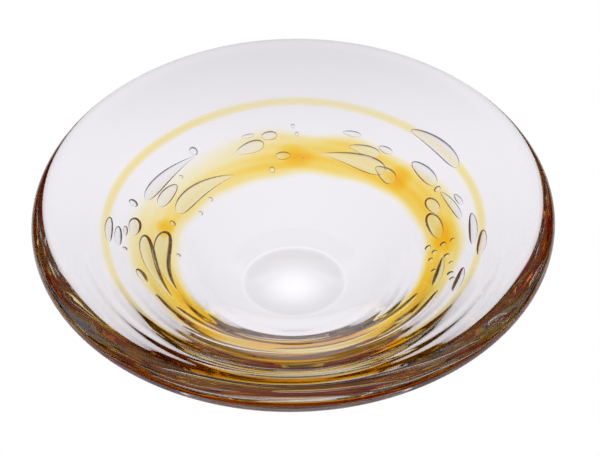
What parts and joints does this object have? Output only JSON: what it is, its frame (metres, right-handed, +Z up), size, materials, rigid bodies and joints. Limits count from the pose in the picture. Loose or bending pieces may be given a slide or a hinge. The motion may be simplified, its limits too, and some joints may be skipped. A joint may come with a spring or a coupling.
{
  "type": "art glass bowl",
  "caption": "Wide shallow bowl of thick clear glass with an amber band, a thin amber ring and long air bubbles trapped in its wall.",
  "frame": {"origin": "centre of the flat foot ring, on the surface that the bowl rests on", "axes": "+Z up, out of the bowl's mouth; +X to the right and -Y towards the front as the bowl is shown"},
  "size_m": [0.28, 0.28, 0.066],
  "materials": {
    "clear_glass": "clear, fire-polished, smooth",
    "yellow_amber_glass": "transparent yellow-amber glass, cased in clear",
    "dense_amber_glass": "deep orange-amber glass, cased in clear"
  },
  "bodies": {
    "root": {"inner_gather": "clear_glass", "outer_casing": "clear_glass", "amber_band": "yellow_amber_glass", "amber_thread": "yellow_amber_glass", "amber_lump_back": "dense_amber_glass", "amber_lump_back_right": "dense_amber_glass", "amber_lump_right": "dense_amber_glass", "amber_lump_left": "dense_amber_glass"}
  },
  "joints": []
}
